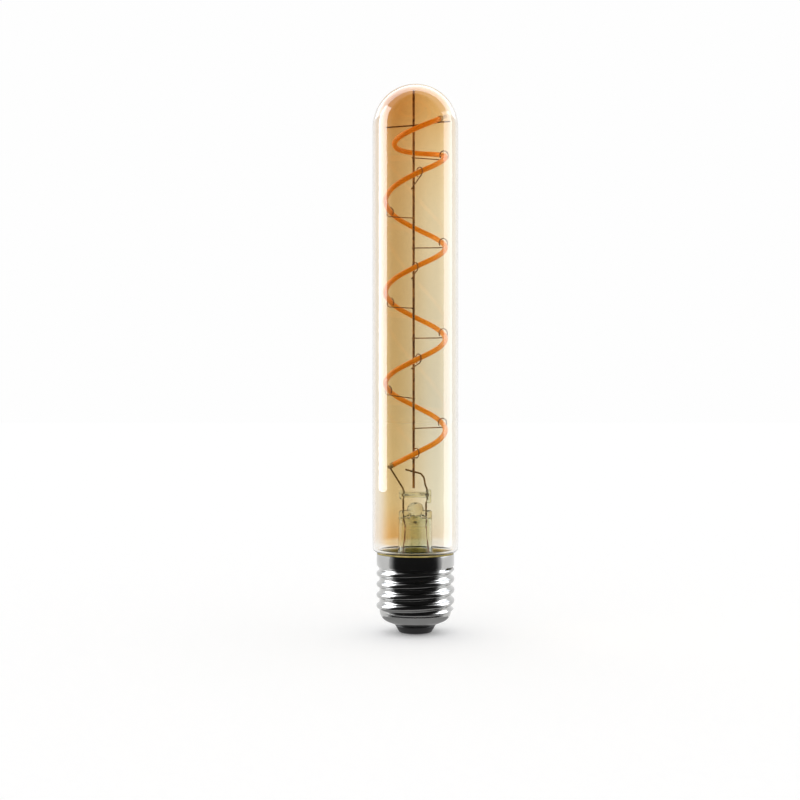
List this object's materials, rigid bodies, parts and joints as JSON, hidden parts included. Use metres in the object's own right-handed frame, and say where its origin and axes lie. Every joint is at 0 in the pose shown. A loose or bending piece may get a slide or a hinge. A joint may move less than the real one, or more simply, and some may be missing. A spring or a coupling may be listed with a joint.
{
  "type": "tubular light bulb",
  "caption": "Tubular LED filament bulb: clear amber glass tube with a domed end, a helical filament hooked to a centre rod, and a round-threaded screw cap.",
  "frame": {"origin": "centre of the rivet contact's flat face, the lowest point of the cap, on the bulb's axis", "axes": "+Z along the bulb's axis from the cap to the dome; -Y towards the viewer of the picture"},
  "size_m": [0.029, 0.029, 0.185],
  "materials": {
    "amber_glass": "clear drawn glass with an amber coating",
    "stem_glass": "clear lead-free stem glass",
    "nickel_plate": "bright nickel plate on rolled sheet",
    "black_insulator": "moulded black insulator",
    "tinned_contact": "tinned rivet",
    "basing_cement": "matt baked cement",
    "nickel_wire": "satin drawn nickel wire",
    "seal_wire": "copper-clad seal wire",
    "copper_wire": "bare copper wire",
    "dark_steel_wire": "oxidised steel wire",
    "phosphor_silicone": "orange phosphor silicone",
    "terminal_strip": "plated strip",
    "circuit_board": "solder-masked glass epoxy",
    "chip_package": "moulded epoxy",
    "capacitor_can": "sleeved can",
    "resistor_coat": "lacquered ceramic"
  },
  "bodies": {
    "root": {"glass_envelope": "amber_glass", "stem_flare": "stem_glass", "exhaust_tube": "stem_glass", "bead_bar": "stem_glass", "cap_shell": "nickel_plate", "cap_insulator": "black_insulator", "centre_contact": "tinned_contact", "cement_ring": "basing_cement", "inner_lead_left": "nickel_wire", "inner_lead_right": "nickel_wire", "seal_wire_left": "seal_wire", "seal_wire_right": "seal_wire", "outer_lead_left": "copper_wire", "outer_lead_right": "copper_wire", "centre_rod": "dark_steel_wire", "top_cross_wire": "dark_steel_wire", "filament": "phosphor_silicone", "terminal_top": "terminal_strip", "terminal_bottom": "terminal_strip", "driver_board": "circuit_board", "bridge_rectifier": "chip_package", "driver_chip": "chip_package", "smoothing_capacitor": "capacitor_can", "fusible_resistor": "resistor_coat", "shell_lead": "copper_wire", "right_hook_1": "dark_steel_wire", "right_hook_2": "dark_steel_wire", "right_hook_3": "dark_steel_wire", "right_hook_4": "dark_steel_wire", "front_hook_1": "dark_steel_wire", "front_hook_2": "dark_steel_wire", "front_hook_3": "dark_steel_wire", "front_hook_4": "dark_steel_wire", "left_hook_1": "dark_steel_wire", "left_hook_2": "dark_steel_wire", "left_hook_3": "dark_steel_wire"}
  },
  "joints": []
}
